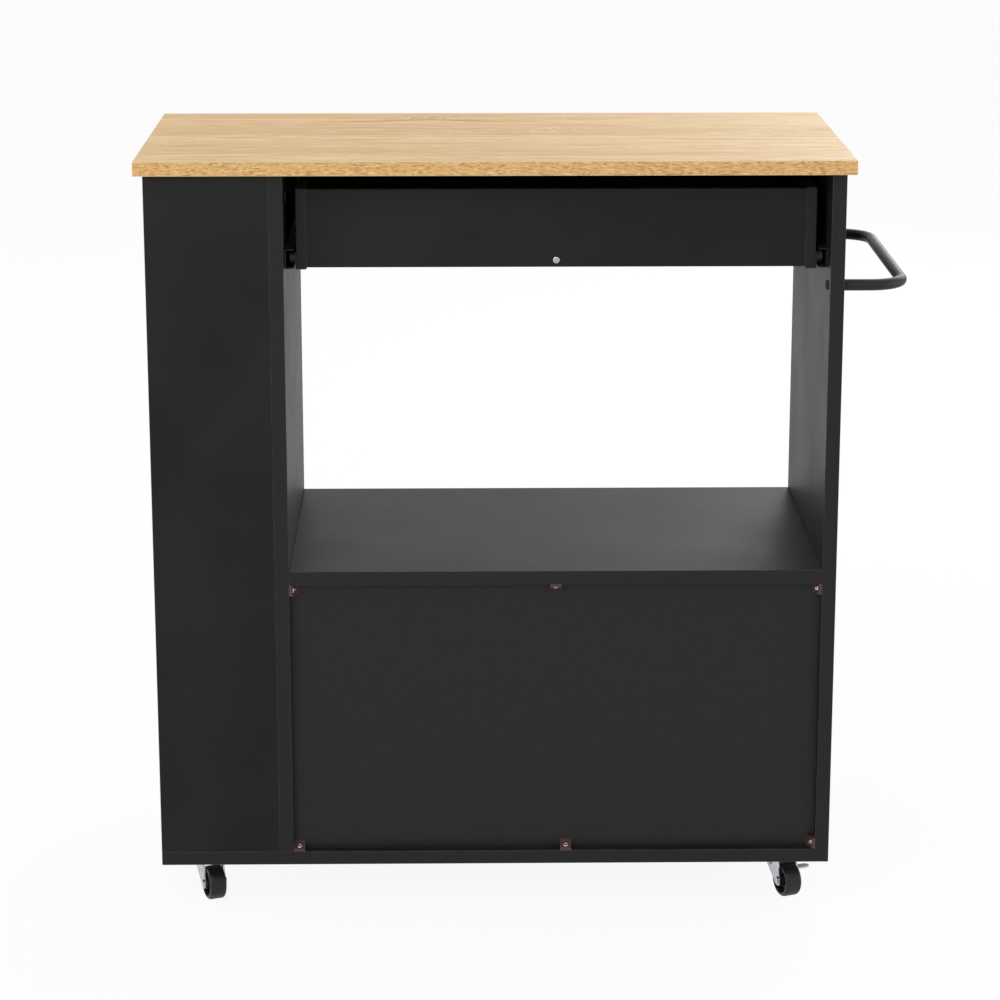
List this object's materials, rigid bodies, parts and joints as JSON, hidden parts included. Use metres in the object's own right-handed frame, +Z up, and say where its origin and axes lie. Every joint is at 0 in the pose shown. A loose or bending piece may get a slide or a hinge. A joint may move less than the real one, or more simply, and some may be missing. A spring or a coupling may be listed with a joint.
{
  "type": "rolling kitchen cabinet",
  "caption": "Rolling kitchen cabinet with an oak worktop, a drawer over an open nook, a cupboard with doors, a side rack and a towel bar, on swivel casters.",
  "frame": {"origin": "on the floor, at the middle of the whole cabinet's box, bar and handles included", "axes": "+Z up, -Y to the front where the doors and drawer are, +X to the open rack, -X to the towel bar"},
  "size_m": [0.868, 0.418, 0.885],
  "materials": {
    "oak_laminate": "satin",
    "black_laminate": "satin",
    "black_hardboard": "satin",
    "brown_plastic": "satin",
    "zinc_steel": "satin",
    "black_steel": "satin",
    "black_plastic": "matte",
    "wheel_rubber": "satin"
  },
  "bodies": {
    "cabinet": {"worktop": "oak_laminate", "base_board": "black_laminate", "side_panel": "black_laminate", "divider_panel": "black_laminate", "rack_back_board": "black_laminate", "rack_front_board": "black_laminate", "rack_shelf_1": "black_laminate", "rack_shelf_2": "black_laminate", "rack_shelf_3": "black_laminate", "rack_rails": "black_steel", "nook_shelf": "black_laminate", "cabinet_back": "black_hardboard", "back_clips": "brown_plastic", "clip_screws": "zinc_steel", "cam_fittings": "zinc_steel", "towel_bar": "black_steel", "towel_bar_screws": "black_steel", "runner_cabinet_left": "black_steel", "runner_cabinet_right": "black_steel", "runner_screws": "zinc_steel", "hinge_frame_leaves": "black_steel", "hinge_pins": "zinc_steel", "door_magnets": "black_plastic", "caster_plates": "zinc_steel", "caster_screws": "zinc_steel"},
    "drawer": {"drawer_front": "black_laminate", "drawer_side_left": "black_laminate", "drawer_side_right": "black_laminate", "drawer_back": "black_laminate", "drawer_bottom": "black_hardboard", "drawer_back_screw": "zinc_steel", "drawer_handle": "black_steel", "runner_drawer_left": "black_steel", "runner_drawer_right": "black_steel"},
    "roller_front_left": {"roller_front_left": "black_plastic"},
    "roller_rear_left": {"roller_rear_left": "black_plastic"},
    "roller_front_right": {"roller_front_right": "black_plastic"},
    "roller_rear_right": {"roller_rear_right": "black_plastic"},
    "door_left": {"door_left": "black_laminate", "door_handle_left": "black_steel", "hinge_door_leaves_left": "black_steel", "catch_plate_left": "zinc_steel"},
    "door_right": {"door_right": "black_laminate", "door_handle_right": "black_steel", "hinge_door_leaves_right": "black_steel", "catch_plate_right": "zinc_steel"},
    "caster_front_left": {"caster_fork_front_left": "zinc_steel", "caster_axle_front_left": "zinc_steel"},
    "wheel_front_left": {"caster_wheel_front_left": "wheel_rubber"},
    "caster_front_right": {"caster_fork_front_right": "zinc_steel", "caster_axle_front_right": "zinc_steel"},
    "wheel_front_right": {"caster_wheel_front_right": "wheel_rubber"},
    "brake_front_right": {"brake_pedal_front_right": "zinc_steel"},
    "caster_back_left": {"caster_fork_back_left": "zinc_steel", "caster_axle_back_left": "zinc_steel"},
    "wheel_back_left": {"caster_wheel_back_left": "wheel_rubber"},
    "brake_back_left": {"brake_pedal_back_left": "zinc_steel"},
    "caster_back_right": {"caster_fork_back_right": "zinc_steel", "caster_axle_back_right": "zinc_steel"},
    "wheel_back_right": {"caster_wheel_back_right": "wheel_rubber"}
  },
  "joints": [
    {"name": "drawer_slide", "type": "slide", "parent": "cabinet", "child": "drawer", "axis": [0, -1, 0], "range_m": [0, 0.23]},
    {"name": "roller_front_left_spin", "type": "hinge", "parent": "cabinet", "child": "roller_front_left", "pos_m": [-0.34, -0.145, 0.76665], "axis": [1, 0, 0], "range_deg": [0, 2015]},
    {"name": "roller_rear_left_spin", "type": "hinge", "parent": "drawer", "child": "roller_rear_left", "pos_m": [-0.34, 0.147, 0.7675], "axis": [1, 0, 0], "range_deg": [0, 1650]},
    {"name": "roller_front_right_spin", "type": "hinge", "parent": "cabinet", "child": "roller_front_right", "pos_m": [0.27, -0.145, 0.76665], "axis": [1, 0, 0], "range_deg": [0, 2015]},
    {"name": "roller_rear_right_spin", "type": "hinge", "parent": "drawer", "child": "roller_rear_right", "pos_m": [0.27, 0.147, 0.7675], "axis": [1, 0, 0], "range_deg": [0, 1650]},
    {"name": "door_left_swing", "type": "hinge", "parent": "cabinet", "child": "door_left", "pos_m": [-0.339, -0.1843, 0.235], "axis": [0, 0, -1], "range_deg": [0, 170]},
    {"name": "door_right_swing", "type": "hinge", "parent": "cabinet", "child": "door_right", "pos_m": [0.269, -0.1843, 0.235], "axis": [0, 0, 1], "range_deg": [0, 170]},
    {"name": "caster_front_left_swivel", "type": "hinge", "parent": "cabinet", "child": "caster_front_left", "pos_m": [-0.306, -0.124, 0.05], "axis": [0, 0, 1], "continuous": true},
    {"name": "wheel_front_left_roll", "type": "hinge", "parent": "caster_front_left", "child": "wheel_front_left", "pos_m": [-0.31274, -0.10731, 0.02], "axis": [-0.9272, -0.3746, 0], "continuous": true},
    {"name": "caster_front_right_swivel", "type": "hinge", "parent": "cabinet", "child": "caster_front_right", "pos_m": [0.374, -0.124, 0.05], "axis": [0, 0, 1], "continuous": true},
    {"name": "wheel_front_right_roll", "type": "hinge", "parent": "caster_front_right", "child": "wheel_front_right", "pos_m": [0.36726, -0.10731, 0.02], "axis": [-0.9272, -0.3746, 0], "continuous": true},
    {"name": "brake_front_right_press", "type": "hinge", "parent": "caster_front_right", "child": "brake_front_right", "pos_m": [0.37475, -0.12585, 0.036], "axis": [-0.9272, -0.3746, 0], "range_deg": [0, 25]},
    {"name": "caster_back_left_swivel", "type": "hinge", "parent": "cabinet", "child": "caster_back_left", "pos_m": [-0.306, 0.142, 0.05], "axis": [0, 0, 1], "continuous": true},
    {"name": "wheel_back_left_roll", "type": "hinge", "parent": "caster_back_left", "child": "wheel_back_left", "pos_m": [-0.31274, 0.15869, 0.02], "axis": [-0.9272, -0.3746, 0], "continuous": true},
    {"name": "brake_back_left_press", "type": "hinge", "parent": "caster_back_left", "child": "brake_back_left", "pos_m": [-0.30525, 0.14015, 0.036], "axis": [-0.9272, -0.3746, 0], "range_deg": [0, 25]},
    {"name": "caster_back_right_swivel", "type": "hinge", "parent": "cabinet", "child": "caster_back_right", "pos_m": [0.374, 0.142, 0.05], "axis": [0, 0, 1], "continuous": true},
    {"name": "wheel_back_right_roll", "type": "hinge", "parent": "caster_back_right", "child": "wheel_back_right", "pos_m": [0.36726, 0.15869, 0.02], "axis": [-0.9272, -0.3746, 0], "continuous": true}
  ],
  "couplings": [
    {"joint": "roller_front_left_spin", "follows": "drawer_slide", "rad_per_m": 152.67},
    {"joint": "roller_rear_left_spin", "follows": "drawer_slide", "rad_per_m": 125},
    {"joint": "roller_front_right_spin", "follows": "drawer_slide", "rad_per_m": 152.67},
    {"joint": "roller_rear_right_spin", "follows": "drawer_slide", "rad_per_m": 125}
  ]
}
